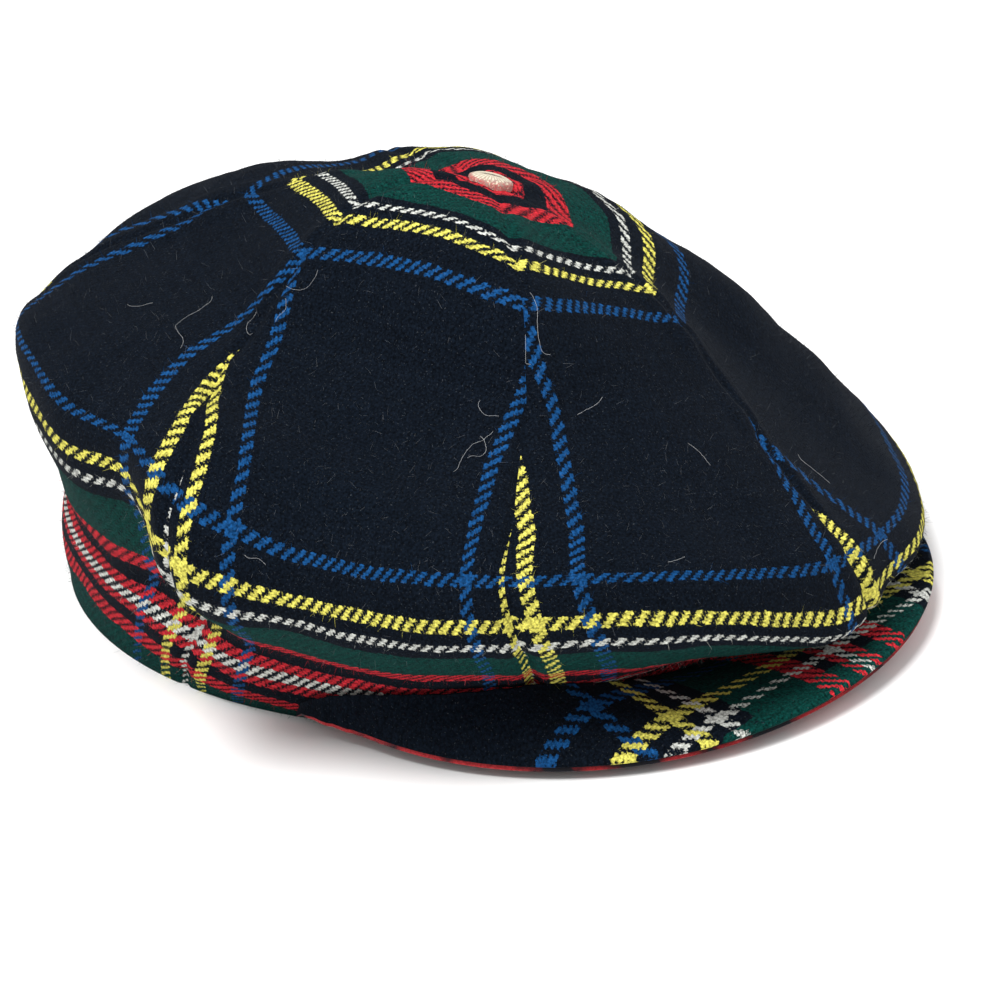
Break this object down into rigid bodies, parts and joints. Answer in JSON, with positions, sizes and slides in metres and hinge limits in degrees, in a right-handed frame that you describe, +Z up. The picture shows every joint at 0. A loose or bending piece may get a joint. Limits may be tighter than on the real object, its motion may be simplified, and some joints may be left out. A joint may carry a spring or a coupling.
{
  "type": "baker boy cap",
  "caption": "Full-crowned baker boy cap in dark tartan wool: wedge panels from a covered button down to the hem, and a stiff curved peak.",
  "frame": {"origin": "bottom centre of the cap's bounding box, in the plane of the hem", "axes": "+Z up, -Y to the front over the peak, -X to the wearer's right"},
  "size_m": [0.2295, 0.2489, 0.1219],
  "materials": {
    "tartan": "matte woollen twill",
    "button": "matte woollen twill",
    "peak_under": "matte woollen cloth"
  },
  "bodies": {
    "root": {"panel_front": "tartan", "panel_right_front": "tartan", "panel_right_back": "tartan", "panel_back": "tartan", "panel_left_back": "tartan", "panel_left_front": "tartan", "button": "button", "peak": "tartan", "peak_under": "peak_under"}
  },
  "joints": []
}
